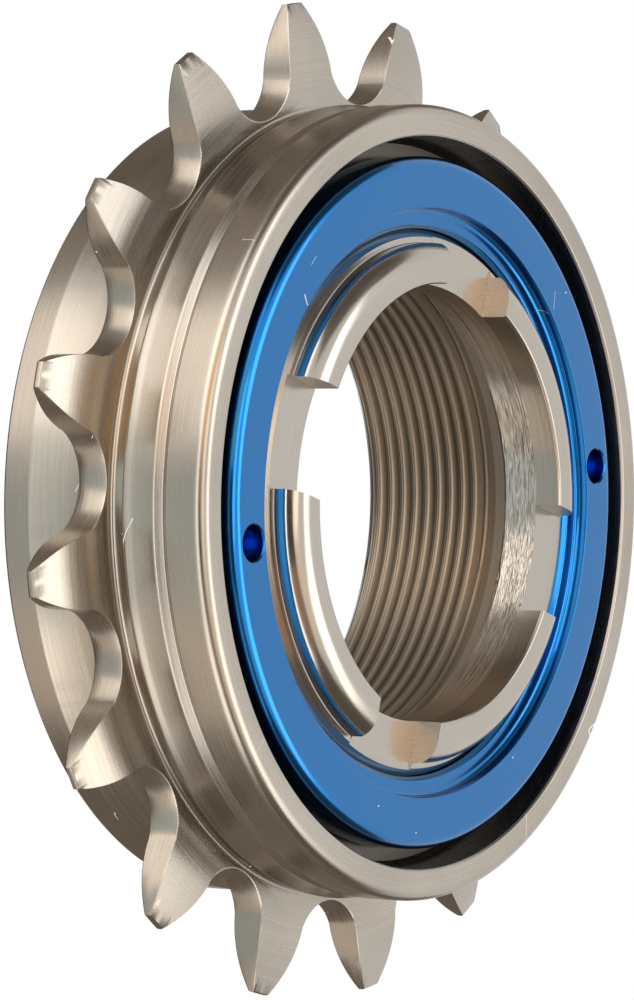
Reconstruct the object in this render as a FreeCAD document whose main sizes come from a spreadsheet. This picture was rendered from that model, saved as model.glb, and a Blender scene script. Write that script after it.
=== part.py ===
import FreeCAD, Part
import math
import os
import re

import Sketcher

# A single speed bicycle freewheel: a toothed outer shell that turns on one thin
# cartridge bearing and drives an inner body through three pawls.
# Frame: +Z is the axle, pointing outboard, away from the hub; z = 0 is the rear
# face that seats on the hub; millimetres and degrees.
# Each size: its name, its value and what it measures.
SIZES = [
    # Sprocket
    ("tooth_count", 16, "teeth on the sprocket"),
    ("chain_pitch", 12.7, "distance between chain rollers"),
    ("roller_seat", 3.95, "radius of the seat for a chain roller"),
    ("tip_above_pitch", 3.25, "tooth tip beyond the pitch circle"),
    ("tip_land", 1.76, "width of the flat at a tooth's tip"),
    ("flank_radius", 12.0, "radius of a tooth's convex flank"),
    ("tooth_width", 2.35, "thickness of the tooth ring"),
    ("tip_width", 0.5, "thickness left at a tooth's tip"),
    ("tip_relief", 5.3, "radial length over which the teeth thin out"),
    ("tooth_plane", 8.6, "height of the middle of the teeth"),
    ("tooth_turn", 9.35, "angle of the first tooth"),
    # Shell
    ("shell_wall", 2.27, "shell wall round the bearing"),
    ("rear_gap", 0.6, "shell's rear face above the hub face"),
    ("lip_depth", 3.5, "lip above the bearing"),
    ("lip_round", 0.8, "rounding of the lip's outer edge"),
    ("edge_break", 0.3, "chamfer on the other edges"),
    ("cut_margin", 1.0, "reach of a cut past what it cuts"),
    ("rear_band", 2.0, "plain band at the rear of the drum"),
    ("neck_drop", 0.67, "depth of the tapered neck behind the teeth"),
    ("neck_height", 5.6, "height of the neck's small end"),
    ("tooth_fillet", 1.0, "fillet from the drum to the tooth ring"),
    ("ridge_height", 10.9, "height of the ridge in front of the teeth"),
    ("ridge_rise", 0.13, "ridge above the drum"),
    ("ridge_step", 0.25, "drum above the fillet behind the ridge"),
    ("groove_low", 13.1, "rear edge of the turned groove"),
    ("groove_width", 1.25, "width of the turned groove"),
    ("groove_radius", 0.85, "radius of the turned groove"),
    # Ratchet and pawls
    ("ratchet_count", 36, "ratchet teeth in the shell"),
    ("ratchet_shoulder", 0.6, "shoulder between ratchet and bearing seat"),
    ("ratchet_depth", 1.2, "depth of the ratchet teeth"),
    ("ratchet_land", 1.2, "angle of the land on a ratchet tooth"),
    ("ratchet_play", 0.35, "angle between a pawl's path and the next tooth"),
    ("pawl_count", 3, "pawls round the inner body"),
    ("pawl_turn", 30.0, "angle of the first pawl's pivot"),
    ("pawl_length", 7.7, "pivot to tip of a pawl"),
    ("pawl_heel", 1.5, "radius of a pawl's heel"),
    ("pawl_back", 1.12, "depth of a pawl below its tip"),
    ("pawl_bite", 0.75, "tip past the ratchet when a pawl is out"),
    ("pawl_clear", 0.35, "tip short of the ratchet when pressed in"),
    ("pawl_side", 0.15, "gap beside a pawl"),
    ("pivot_fit", 0.05, "radial clearance round a pawl's heel"),
    ("pocket_end", 0.35, "gap beyond a pawl's tip"),
    ("spring_space", 0.78, "room under a pawl for its spring"),
    ("spring_strip", 0.2, "thickness of the spring strip"),
    ("spring_inset", 1.2, "spring short of each end of the pawl"),
    ("spring_margin", 0.6, "pawl wider than its spring, each side"),
    # Inner body
    ("hub_thread", 34.925, "hub thread diameter, 1.375 inch"),
    ("thread_depth", 11.1, "length of the hub thread"),
    ("thread_lead", 0.6, "chamfer at the thread's mouth"),
    ("body_wall", 2.5375, "body wall between thread and bearing seat"),
    ("flange_gap", 0.5, "flange rim inside the shell"),
    ("flange_height", 2.2, "thickness of the rear flange"),
    ("bay_gap", 0.3, "clearance between turning faces"),
    ("bay_height", 4.8, "length of the pawl bay"),
    ("carrier_gap", 0.45, "carrier inside the ratchet tips"),
    ("shoulder_height", 1.7, "radial height of the inner race's shoulder"),
    ("relief_height", 2.6, "length of the taper in front of the thread"),
    ("front_bore_inset", 1.91, "front bore inside the thread"),
    ("lug_wall", 2.9, "radial width of the front lugs"),
    ("thread_end", 0.6, "chamfer at the end of the lock ring's thread"),
    ("ledge_width", 0.45, "ledge round the foot of the lugs"),
    ("lug_height", 1.95, "lugs above the ledge"),
    ("lug_flat", 1.7, "flat width on top of the lugs"),
    ("lug_shoulder", 0.7, "height of the lugs' rounded shoulder"),
    ("notch_count", 4, "notches for the remover"),
    ("notch_width", 8.0, "width of a notch"),
    ("notch_depth", 2.05, "depth of a notch"),
    ("notch_turn", 75.0, "angle of the first notch"),
    # Bearing
    ("bearing_section", 6.0, "bearing's radial section"),
    ("bearing_width", 7.0, "bearing's width"),
    ("race_wall", 1.9, "radial thickness of a race"),
    ("race_chamfer", 0.4, "chamfer on a race"),
    ("race_fit", 0.02, "clearance of a race on its seat"),
    ("ball_size", 3.5, "ball diameter"),
    ("ball_count", 18, "balls in the bearing"),
    ("ball_play", 0.05, "radial clearance of a ball"),
    ("cage_wall", 1.0, "radial thickness of the cage"),
    ("cage_web", 0.4, "cage beyond the ball pockets"),
    ("seal_strip", 0.5, "thickness of a bearing seal"),
    ("seal_recess", 0.15, "seal below the bearing's face"),
    ("seal_play", 0.1, "gap of a seal's running lip"),
    # Lock ring
    ("ring_thread_step", 0.5, "lock ring thread below the bearing seat"),
    ("thread_fit", 0.05, "clearance of the lock ring thread"),
    ("ring_gap", 1.4, "lock ring inside the shell lip"),
    ("ring_boss", 0.5, "boss that bears on the inner race"),
    ("ring_boss_inset", 0.3, "boss inside the inner race's edge"),
    ("ring_height", 2.95, "lock ring's thickness above the boss"),
    ("ring_round", 0.8, "rounding of the lock ring's outer edge"),
    ("ring_ledge", 1.45, "width of the ledge in the lock ring"),
    ("ring_recess", 1.0, "depth of the ledge"),
    ("recess_round", 0.4, "rounding in the ledge's corner"),
    ("pin_hole", 2.5, "pin hole diameter"),
    ("pin_depth", 2.2, "pin hole depth"),
    ("pin_wall", 0.15, "pin hole to the ledge's wall"),
    ("pin_count", 2, "pin holes in the lock ring"),
    ("pin_turn", 7.5, "angle of the first pin hole"),
    # Dust seal
    ("dust_groove_low", 0.8, "lower edge of the dust seal's groove"),
    ("dust_groove", 1.0, "width of the dust seal's groove"),
    ("dust_groove_depth", 0.9, "depth of the dust seal's groove"),
    ("dust_side", 0.02, "dust seal's gap in its groove"),
    ("dust_play", 0.08, "dust seal's gap to the shell"),
]

ANGLES = ("tooth_turn", "ratchet_land", "ratchet_play", "pawl_turn", "notch_turn", "pin_turn")

# Places that follow from the sizes.
DERIVED = {
    # Sprocket
    "pitch_radius": "chain_pitch / (2 * sin(180 deg / tooth_count))",
    "tip_radius": "pitch_radius + tip_above_pitch",
    "tip_angle": "180 deg / tooth_count - asin(tip_land / 2 / tip_radius)",
    "mouth_x": "tip_radius * cos(tip_angle)",
    "mouth_y": "tip_radius * sin(tip_angle)",
    "mouth_reach": "sqrt((mouth_x - pitch_radius) ^ 2 + mouth_y ^ 2)",
    "seat_angle": "atan2(mouth_y; mouth_x - pitch_radius) + acos(roller_seat / mouth_reach)",
    "seat_x": "pitch_radius + roller_seat * cos(seat_angle)",
    "seat_y": "roller_seat * sin(seat_angle)",
    "relief_radius": "(tip_relief ^ 2 + tip_drop ^ 2) / (2 * tip_drop)",
    "tip_drop": "(tooth_width - tip_width) / 2",
    "plate_rear": "tooth_plane - tooth_width / 2",
    "plate_front": "tooth_plane + tooth_width / 2",
    # Radii from the hub thread outwards
    "thread_radius": "hub_thread / 2",
    "seat_radius": "thread_radius + body_wall",
    "bearing_outer": "seat_radius + bearing_section",
    "drum_radius": "bearing_outer + shell_wall",
    "ratchet_root": "bearing_outer - ratchet_shoulder",
    "ratchet_tip": "ratchet_root - ratchet_depth",
    "carrier_radius": "ratchet_tip - carrier_gap",
    "shoulder_radius": "seat_radius + shoulder_height",
    "flange_radius": "bearing_outer - flange_gap",
    "front_bore": "thread_radius - front_bore_inset",
    "lug_radius": "front_bore + lug_wall",
    "ring_thread": "seat_radius - ring_thread_step",
    "ring_radius": "bearing_outer - ring_gap",
    "recess_radius": "ring_thread + ring_ledge",
    "boss_radius": "seat_radius + race_wall - ring_boss_inset",
    "pin_circle": "recess_radius + pin_hole / 2 + pin_wall",
    # Heights from the hub face outwards
    "bearing_rear": "flange_height + bay_height",
    "bearing_front": "bearing_rear + bearing_width",
    "bearing_middle": "bearing_rear + bearing_width / 2",
    "shell_front": "bearing_front + lip_depth",
    "ratchet_rear": "flange_height + bay_gap",
    "carrier_front": "bearing_rear - bay_gap",
    "ring_under": "bearing_front + ring_boss",
    "ring_face": "ring_under + ring_height",
    "ledge_height": "ring_face - ring_recess",
    "lug_top": "ledge_height + lug_height",
    "notch_floor": "lug_top - notch_depth",
    # Bearing
    "ball_radius": "ball_size / 2",
    "ball_circle": "seat_radius + bearing_section / 2",
    "track_radius": "ball_radius + ball_play",
    "inner_race_top": "seat_radius + race_wall",
    "outer_race_bore": "bearing_outer - race_wall",
    "track_half": "sqrt(track_radius ^ 2 - (ball_circle - inner_race_top) ^ 2)",
    "cage_height": "2 * (track_radius + cage_web)",
    # Pawls: angles at the pivot between the radius and the line to the tip
    "pivot_radius": "seat_radius + pawl_heel + 2 * pivot_fit",
    "pressed_radius": "ratchet_tip - pawl_clear",
    "engaged_radius": "ratchet_tip + pawl_bite",
    "pivot_base": "pivot_radius ^ 2 + pawl_length ^ 2",
    "pivot_product": "2 * pivot_radius * pawl_length",
    "pressed_angle": "acos((pressed_radius ^ 2 - pivot_base) / pivot_product)",
    "engaged_angle": "acos((engaged_radius ^ 2 - pivot_base) / pivot_product)",
    "passing_angle": "acos((ratchet_tip ^ 2 - pivot_base) / pivot_product)",
    "engaged_turn": "asin(pawl_length * sin(engaged_angle) / engaged_radius)",
    "passing_turn": "asin(pawl_length * sin(passing_angle) / ratchet_tip)",
    "face_turn": "pawl_turn + passing_turn + ratchet_play",
    "ratchet_step": "360 deg / ratchet_count",
    "end_slope": "pawl_back / tan(engaged_angle - engaged_turn)",
    "pocket_floor": "pawl_back + spring_space",
    "pawl_height": "bay_height - bay_gap - 2 * pawl_side",
    "pawl_low": "flange_height + pawl_side",
}

doc = FreeCAD.newDocument("Freewheel")
sheet = doc.addObject("Spreadsheet::Sheet", "Sizes")
NAMES = [name for name, value, meaning in SIZES]
for row, (name, value, meaning) in enumerate(SIZES, 1):
    sheet.set(f"A{row}", name)
    sheet.set(f"B{row}", str(value))
    sheet.setAlias(f"B{row}", name)
    sheet.set(f"C{row}", meaning)
doc.recompute()


def bound(expression):
    """The expression with each name in it written out as cells of the sheet."""

    def write_out(match):
        word = match.group(0)
        if word in DERIVED:
            return "(" + bound(DERIVED[word]) + ")"
        if word in ANGLES:
            return f"(Sizes.{word} * 1 deg)"
        return "Sizes." + word if word in NAMES else word

    return re.sub(r"[a-z][a-z_0-9]+", write_out, expression)


def number(expression):
    value = sheet.evalExpression(bound(expression))
    return float(getattr(value, "Value", value))


def plane_of(body, role):
    return next(f for f in body.Origin.OriginFeatures if f.Role == role)


def new_body(label):
    body = doc.addObject("PartDesign::Body", label)
    body.Label = label
    return body


def new_sketch(body, role, height=None, turn=None):
    """A sketch on one of the body's own planes, raised and turned by expressions."""
    sketch = body.newObject("Sketcher::SketchObject", body.Label + "_sketch")
    sketch.AttachmentSupport = [(plane_of(body, role), "")]
    sketch.MapMode = "FlatFace"
    if height:
        sketch.setExpression("AttachmentOffset.Base.z", bound(height))
    if turn:
        sketch.AttachmentOffset = FreeCAD.Placement(
            FreeCAD.Vector(0, 0, number(height or "0")),
            FreeCAD.Rotation(FreeCAD.Vector(0, 0, 1), number(turn)),
        )
        sketch.setExpression("AttachmentOffset.Rotation.Angle", bound(turn))
    return sketch


def bind_last(sketch, expression):
    index = sketch.ConstraintCount - 1
    sketch.setExpression(f"Constraints[{index}]", bound(expression))


def place_point(sketch, geometry, end, x, y):
    """Holds one end of a line or arc at bound distances from the origin."""
    for kind, expression in (("DistanceX", x), ("DistanceY", y)):
        value = number(expression)
        if abs(value) < 1e-9:
            axis = -2 if kind == "DistanceX" else -1
            sketch.addConstraint(Sketcher.Constraint("PointOnObject", geometry, end, axis))
        elif value > 0:
            sketch.addConstraint(Sketcher.Constraint(kind, -1, 1, geometry, end, value))
            bind_last(sketch, expression)
        else:
            sketch.addConstraint(Sketcher.Constraint(kind, geometry, end, -1, 1, -value))
            bind_last(sketch, f"-({expression})")


def arc_between(first, last, radius, side):
    """The arc from first to last whose centre lies to the left (1) or right (-1)."""
    chord = last - first
    middle = (first + last) * 0.5
    left = FreeCAD.Vector(-chord.y, chord.x, 0).normalize()
    rise = math.sqrt(max(radius**2 - (chord.Length / 2) ** 2, 0.0))
    centre = middle + left * (rise * side)
    circle = Part.Circle(centre, FreeCAD.Vector(0, 0, 1), radius)
    ends = (first, last) if side > 0 else (last, first)
    start, stop = (math.atan2(p.y - centre.y, p.x - centre.x) for p in ends)
    return Part.ArcOfCircle(circle, start, stop)


def draw_outline(sketch, corners):
    """A closed outline. A corner is (x, y), or (x, y, radius, side) where an arc starts."""
    points = [FreeCAD.Vector(number(c[0]), number(c[1]), 0) for c in corners]
    ends = []
    for i, corner in enumerate(corners):
        first, last = points[i], points[(i + 1) % len(points)]
        if len(corner) == 2:
            ends.append((sketch.addGeometry(Part.LineSegment(first, last)), 1, 2))
            continue
        radius, side = corner[2:]
        arc = sketch.addGeometry(arc_between(first, last, number(radius), side))
        ends.append((arc, 1, 2) if side > 0 else (arc, 2, 1))
    for i, (geometry, start, stop) in enumerate(ends):
        following, follow_start = ends[(i + 1) % len(ends)][:2]
        sketch.addConstraint(
            Sketcher.Constraint("Coincident", geometry, stop, following, follow_start)
        )
        place_point(sketch, geometry, start, corners[i][0], corners[i][1])
        if len(corners[i]) == 4:
            radius = corners[i][2]
            sketch.addConstraint(Sketcher.Constraint("Radius", geometry, number(radius)))
            bind_last(sketch, radius)


def draw_circle(sketch, x, y, radius):
    centre = FreeCAD.Vector(number(x), number(y), 0)
    circle = Part.Circle(centre, FreeCAD.Vector(0, 0, 1), number(radius))
    geometry = sketch.addGeometry(circle)
    place_point(sketch, geometry, 3, x, y)
    sketch.addConstraint(Sketcher.Constraint("Radius", geometry, number(radius)))
    bind_last(sketch, radius)


def turned(label, profile):
    """A body turned about the axle from a profile of (radius, height) corners."""
    body = new_body(label)
    sketch = new_sketch(body, "XZ_Plane")
    draw_outline(sketch, profile)
    turning = body.newObject("PartDesign::Revolution", label + "_turning")
    turning.Profile = sketch
    turning.ReferenceAxis = (sketch, ["V_Axis"])
    turning.Angle = 360
    doc.recompute()
    return body


def cut_both_ways(body, sketch, length, name):
    """A pocket that reaches equally far to both sides of its sketch."""
    pocket = body.newObject("PartDesign::Pocket", name)
    pocket.Profile = sketch
    pocket.Type = "Length"
    pocket.SideType = "Symmetric"
    pocket.setExpression("Length", bound(length))
    doc.recompute()
    return pocket


def repeat(body, feature, count):
    """Copies a feature round the axle and leaves the pattern as the body's result."""
    pattern = body.newObject("PartDesign::PolarPattern", feature.Name + "_ring")
    pattern.Originals = [feature]
    pattern.Axis = (plane_of(body, "Z_Axis"), [""])
    pattern.Angle = 360
    pattern.setExpression("Occurrences", bound(count))
    body.Tip = pattern
    doc.recompute()
    return pattern


def padded(label, sketch, body, height):
    pad = body.newObject("PartDesign::Pad", label + "_pad")
    pad.Profile = sketch
    pad.Type = "Length"
    pad.setExpression("Length", bound(height))
    doc.recompute()
    return pad


def make_sprocket_shell():
    """The outer shell: drum, tooth ring, bearing seat and ratchet, all one piece."""
    shell = turned(
        "sprocket_shell",
        [
            ("bearing_outer", "rear_gap"),
            ("drum_radius - edge_break", "rear_gap"),
            ("drum_radius", "rear_gap + edge_break"),
            ("drum_radius", "rear_gap + edge_break + rear_band"),
            ("drum_radius - neck_drop", "neck_height"),
            ("drum_radius - neck_drop", "plate_rear - tooth_fillet", "tooth_fillet", -1),
            ("drum_radius - neck_drop + tooth_fillet", "plate_rear"),
            ("tip_radius - tip_relief", "plate_rear", "relief_radius", 1),
            ("tip_radius", "tooth_plane - tip_width / 2"),
            ("tip_radius", "tooth_plane + tip_width / 2", "relief_radius", 1),
            ("tip_radius - tip_relief", "plate_front"),
            ("drum_radius - ridge_step + tooth_fillet", "plate_front", "tooth_fillet", -1),
            ("drum_radius - ridge_step", "plate_front + tooth_fillet"),
            ("drum_radius + ridge_rise", "ridge_height"),
            ("drum_radius - ridge_step / 2", "groove_low", "groove_radius", -1),
            ("drum_radius", "groove_low + groove_width"),
            ("drum_radius", "shell_front - lip_round", "lip_round", 1),
            ("drum_radius - lip_round", "shell_front"),
            ("bearing_outer + edge_break / 2", "shell_front"),
            ("bearing_outer", "shell_front - edge_break / 2"),
            ("bearing_outer", "bearing_rear"),
            ("ratchet_tip", "bearing_rear"),
            ("ratchet_tip", "ratchet_rear"),
            ("bearing_outer", "ratchet_rear"),
        ],
    )
    gap = new_sketch(shell, "XY_Plane", "tooth_plane", "tooth_turn + 180 deg / tooth_count")
    draw_outline(
        gap,
        [
            ("mouth_x", "mouth_y", "flank_radius", -1),
            ("seat_x", "seat_y", "roller_seat", 1),
            ("seat_x", "-(seat_y)", "flank_radius", -1),
            ("mouth_x", "-(mouth_y)"),
            ("tip_radius + tip_relief", "-(mouth_y)"),
            ("tip_radius + tip_relief", "mouth_y"),
        ],
    )
    gap_cut = cut_both_ways(shell, gap, "2 * tooth_width", "roller_gap")
    repeat(shell, gap_cut, "tooth_count")
    # The steep faces of the ratchet push the pawl tips clockwise, seen from outboard.
    notch = new_sketch(
        shell, "XY_Plane", "(ratchet_rear + bearing_rear) / 2", "face_turn - ratchet_step"
    )
    draw_outline(
        notch,
        [
            (f"{radius} * cos({turn})", f"{radius} * sin({turn})")
            for radius, turn in (
                ("ratchet_tip", "ratchet_land"),
                ("(ratchet_tip - cut_margin)", "ratchet_land"),
                ("(ratchet_tip - cut_margin)", "ratchet_step"),
                ("ratchet_root", "ratchet_step"),
            )
        ],
    )
    notch_cut = cut_both_ways(shell, notch, "bearing_rear - ratchet_rear", "ratchet_tooth")
    repeat(shell, notch_cut, "ratchet_count")
    return shell


def make_inner_body():
    """The inner body: hub thread, pawl carrier, bearing seat and notched front lugs."""
    body = turned(
        "inner_body",
        [
            ("thread_radius + thread_lead", "0"),
            ("flange_radius - edge_break", "0"),
            ("flange_radius", "edge_break"),
            ("flange_radius", "dust_groove_low"),
            ("flange_radius - dust_groove_depth", "dust_groove_low"),
            ("flange_radius - dust_groove_depth", "dust_groove_low + dust_groove"),
            ("flange_radius", "dust_groove_low + dust_groove"),
            ("flange_radius", "flange_height"),
            ("carrier_radius", "flange_height"),
            ("carrier_radius", "carrier_front"),
            ("shoulder_radius", "carrier_front"),
            ("shoulder_radius", "bearing_rear"),
            ("seat_radius", "bearing_rear"),
            ("seat_radius", "bearing_front - edge_break"),
            ("ring_thread - thread_fit", "bearing_front - edge_break"),
            ("ring_thread - thread_fit", "ledge_height - thread_end"),
            ("lug_radius + ledge_width", "ledge_height"),
            ("lug_radius", "ledge_height"),
            ("lug_radius", "lug_top - lug_shoulder", "lug_wall - lug_flat", 1),
            ("front_bore + lug_flat", "lug_top"),
            ("front_bore + edge_break / 2", "lug_top"),
            ("front_bore", "lug_top - edge_break / 2"),
            ("front_bore", "thread_depth + relief_height"),
            ("thread_radius", "thread_depth"),
            ("thread_radius", "thread_lead"),
        ],
    )
    notch = new_sketch(body, "XY_Plane", "notch_floor + notch_depth", "notch_turn")
    draw_outline(
        notch,
        [
            ("front_bore - cut_margin", "-(notch_width / 2)"),
            ("seat_radius", "-(notch_width / 2)"),
            ("seat_radius", "notch_width / 2"),
            ("front_bore - cut_margin", "notch_width / 2"),
        ],
    )
    notch_cut = cut_both_ways(body, notch, "2 * notch_depth", "remover_notch")
    repeat(body, notch_cut, "notch_count")

    middle = "(flange_height + bearing_rear) / 2"
    socket = new_sketch(body, "XY_Plane", middle, "pawl_turn")
    draw_circle(socket, "pivot_radius", "0", "pawl_heel + pivot_fit")
    socket_cut = cut_both_ways(body, socket, "bay_height", "pawl_socket")
    repeat(body, socket_cut, "pawl_count")

    # The bay is drawn along the pressed pawl, then turned with the pivot's radius.
    bay = new_sketch(body, "XY_Plane", middle, "pawl_turn")
    along = "cos(pressed_angle)"
    across = "sin(pressed_angle)"
    outside = "-(carrier_radius - pivot_radius + cut_margin)"
    corners = [
        ("0", "0"),
        ("0", outside),
        ("pawl_length + pocket_end", outside),
        ("pawl_length + pocket_end", "pocket_floor"),
        ("pawl_heel / 2", "pocket_floor"),
    ]
    draw_outline(
        bay,
        [
            (
                f"pivot_radius + ({u}) * {along} - ({w}) * {across}",
                f"({u}) * {across} + ({w}) * {along}",
            )
            for u, w in corners
        ],
    )
    bay_cut = cut_both_ways(body, bay, "bay_height", "pawl_bay")
    repeat(body, bay_cut, "pawl_count")
    return body


def make_lock_ring():
    """The anodised ring that screws on the body and clamps the bearing's inner race."""
    ring = turned(
        "lock_ring",
        [
            ("ring_thread", "bearing_front"),
            ("boss_radius", "bearing_front"),
            ("boss_radius", "ring_under"),
            ("ring_radius - edge_break", "ring_under"),
            ("ring_radius", "ring_under + edge_break"),
            ("ring_radius", "ring_face - ring_round", "ring_round", 1),
            ("ring_radius - ring_round", "ring_face"),
            ("recess_radius", "ring_face"),
            ("recess_radius", "ledge_height + recess_round", "recess_round", -1),
            ("recess_radius - recess_round", "ledge_height"),
            ("ring_thread + edge_break", "ledge_height"),
            ("ring_thread", "ledge_height - edge_break"),
        ],
    )
    pins = new_sketch(ring, "XY_Plane", "ring_face", "pin_turn")
    draw_circle(pins, "pin_circle", "0", "pin_hole / 2")
    pin_cut = cut_both_ways(ring, pins, "2 * pin_depth", "pin_hole")
    repeat(ring, pin_cut, "pin_count")
    return ring


def make_bearing():
    """The cartridge bearing: two races, a cage, its balls and two seals."""
    track_low = "bearing_middle - track_half"
    track_high = "bearing_middle + track_half"
    outer = turned(
        "bearing_outer_race",
        [
            ("outer_race_bore", "bearing_rear"),
            ("bearing_outer - race_fit - race_chamfer", "bearing_rear"),
            ("bearing_outer - race_fit", "bearing_rear + race_chamfer"),
            ("bearing_outer - race_fit", "bearing_front - race_chamfer"),
            ("bearing_outer - race_fit - race_chamfer", "bearing_front"),
            ("outer_race_bore", "bearing_front"),
            ("outer_race_bore", track_high, "track_radius", -1),
            ("outer_race_bore", track_low),
        ],
    )
    inner = turned(
        "bearing_inner_race",
        [
            ("seat_radius + race_fit + race_chamfer", "bearing_rear"),
            ("inner_race_top", "bearing_rear"),
            ("inner_race_top", track_low, "track_radius", -1),
            ("inner_race_top", track_high),
            ("inner_race_top", "bearing_front"),
            ("seat_radius + race_fit + race_chamfer", "bearing_front"),
            ("seat_radius + race_fit", "bearing_front - race_chamfer"),
            ("seat_radius + race_fit", "bearing_rear + race_chamfer"),
        ],
    )
    cage = turned(
        "bearing_cage",
        [
            ("ball_circle - cage_wall / 2", "bearing_middle - cage_height / 2"),
            ("ball_circle + cage_wall / 2", "bearing_middle - cage_height / 2"),
            ("ball_circle + cage_wall / 2", "bearing_middle + cage_height / 2"),
            ("ball_circle - cage_wall / 2", "bearing_middle + cage_height / 2"),
        ],
    )
    window = new_sketch(cage, "YZ_Plane")
    draw_circle(window, "0", "bearing_middle", "track_radius")
    window_cut = cage.newObject("PartDesign::Pocket", "ball_window")
    window_cut.Profile = window
    window_cut.Type = "Length"
    window_cut.Reversed = True
    window_cut.setExpression("Length", bound("bearing_outer"))
    doc.recompute()
    repeat(cage, window_cut, "ball_count")

    seals = []
    for label, low in (
        ("bearing_seal_rear", "bearing_rear + seal_recess"),
        ("bearing_seal_front", "bearing_front - seal_recess - seal_strip"),
    ):
        seals.append(
            turned(
                label,
                [
                    ("inner_race_top + seal_play", low),
                    ("outer_race_bore - race_fit", low),
                    ("outer_race_bore - race_fit", f"{low} + seal_strip"),
                    ("inner_race_top + seal_play", f"{low} + seal_strip"),
                ],
            )
        )

    balls = []
    for k in range(round(number("ball_count"))):
        ball = doc.addObject("Part::Sphere", f"bearing_ball_{k + 1:02d}")
        ball.setExpression("Radius", bound("ball_radius"))
        turn = f"{k} * 360 deg / ball_count"
        ball.setExpression("Placement.Base.x", bound(f"ball_circle * cos({turn})"))
        ball.setExpression("Placement.Base.y", bound(f"ball_circle * sin({turn})"))
        ball.setExpression("Placement.Base.z", bound("bearing_middle"))
        balls.append(ball)
    return [outer, inner, cage] + seals + balls


def set_on_pawl(body, k, low):
    """Moves a piece drawn along a pawl to pivot number k, pressed in."""
    turn = f"(pawl_turn + {k} * 360 deg / pawl_count)"
    body.Placement = FreeCAD.Placement(
        FreeCAD.Vector(0, 0, 0),
        FreeCAD.Rotation(FreeCAD.Vector(0, 0, 1), number(f"{turn} + pressed_angle")),
    )
    body.setExpression("Placement.Base.x", bound(f"pivot_radius * cos{turn}"))
    body.setExpression("Placement.Base.y", bound(f"pivot_radius * sin{turn}"))
    body.setExpression("Placement.Base.z", bound(low))
    body.setExpression("Placement.Rotation.Angle", bound(f"{turn} + pressed_angle"))


def make_pawl(k):
    """A pawl: a round heel in the body's socket and a bar that tapers to its tip."""
    label = f"pawl_{k + 1}"
    pawl = new_body(label)
    heel = new_sketch(pawl, "XY_Plane")
    draw_circle(heel, "0", "0", "pawl_heel")
    padded(label + "_heel", heel, pawl, "pawl_height")
    bar = new_sketch(pawl, "XY_Plane")
    draw_outline(
        bar,
        [
            ("0", "0"),
            (
                "pawl_heel ^ 2 / pawl_length",
                "-(pawl_heel * sqrt(1 - (pawl_heel / pawl_length) ^ 2))",
            ),
            ("pawl_length", "0"),
            ("pawl_length - end_slope", "pawl_back"),
            ("0", "pawl_back"),
        ],
    )
    padded(label + "_bar", bar, pawl, "pawl_height")
    set_on_pawl(pawl, k, "pawl_low")
    return pawl


def make_spring(k):
    """The folded strip that presses a pawl outwards, closed up as under a pressed pawl."""
    label = f"pawl_spring_{k + 1}"
    spring = new_body(label)
    strip = new_sketch(spring, "XY_Plane")
    top = "pawl_back + race_fit"
    floor = "pocket_floor - race_fit"
    fold = f"({floor} - ({top})) / 2"
    near = "pawl_heel + spring_inset"
    far = "pawl_length - end_slope - spring_inset"
    # A fold of exactly half a turn would leave the arc's radius undecided.
    rounded = "1.02 * "
    draw_outline(
        strip,
        [
            (near, top),
            (far, top, f"{rounded}{fold}", 1),
            (far, floor),
            (near, floor),
            (near, f"{floor} - spring_strip"),
            (far, f"{floor} - spring_strip", f"{rounded}({fold} - spring_strip)", -1),
            (far, f"{top} + spring_strip"),
            (near, f"{top} + spring_strip"),
        ],
    )
    padded(label, strip, spring, "pawl_height - 2 * spring_margin")
    set_on_pawl(spring, k, "pawl_low + spring_margin")
    return spring


def make_dust_seal():
    """The rubber ring in the flange's groove that closes the gap to the shell."""
    root = "flange_radius - dust_groove_depth + dust_side"
    low = "dust_groove_low + dust_side"
    high = "dust_groove_low + dust_groove - dust_side"
    return turned(
        "rear_dust_seal",
        [
            (root, low),
            ("bearing_outer - dust_play - 2 * dust_side", low),
            ("bearing_outer - dust_play", "dust_groove_low + dust_groove / 2"),
            ("bearing_outer - dust_play - 2 * dust_side", high),
            (root, high),
        ],
    )


pieces = [make_sprocket_shell(), make_inner_body(), make_lock_ring()]
pieces += make_bearing()
for k in range(round(number("pawl_count"))):
    pieces += [make_pawl(k), make_spring(k)]
pieces.append(make_dust_seal())
doc.recompute()

for thing in doc.Objects:
    if "Invalid" in thing.State or "Error" in thing.State:
        raise RuntimeError(f"{thing.Label} failed: {thing.State}")
    if thing.isDerivedFrom("PartDesign::Pocket"):
        if thing.Shape.Volume >= thing.BaseFeature.Shape.Volume - 0.001:
            raise RuntimeError(f"{thing.Label} cuts nothing")
for piece in pieces:
    if piece.Shape.isNull() or not piece.Shape.isValid():
        raise RuntimeError(f"{piece.Label} has no valid shape")
    if len(piece.Shape.Solids) != 1:
        raise RuntimeError(f"{piece.Label} is not one solid")

os.makedirs("parts", exist_ok=True)
for piece in pieces:
    piece.Shape.exportStep(os.path.join("parts", piece.Label + ".step"))
    print(f"{piece.Label}: {piece.Shape.Volume:.1f} mm3")
print(f"pawl swing: {number('pressed_angle - engaged_angle'):.4f} degrees")
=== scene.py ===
import math

import bmesh
import bpy
from mathutils import Matrix, Vector


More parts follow.
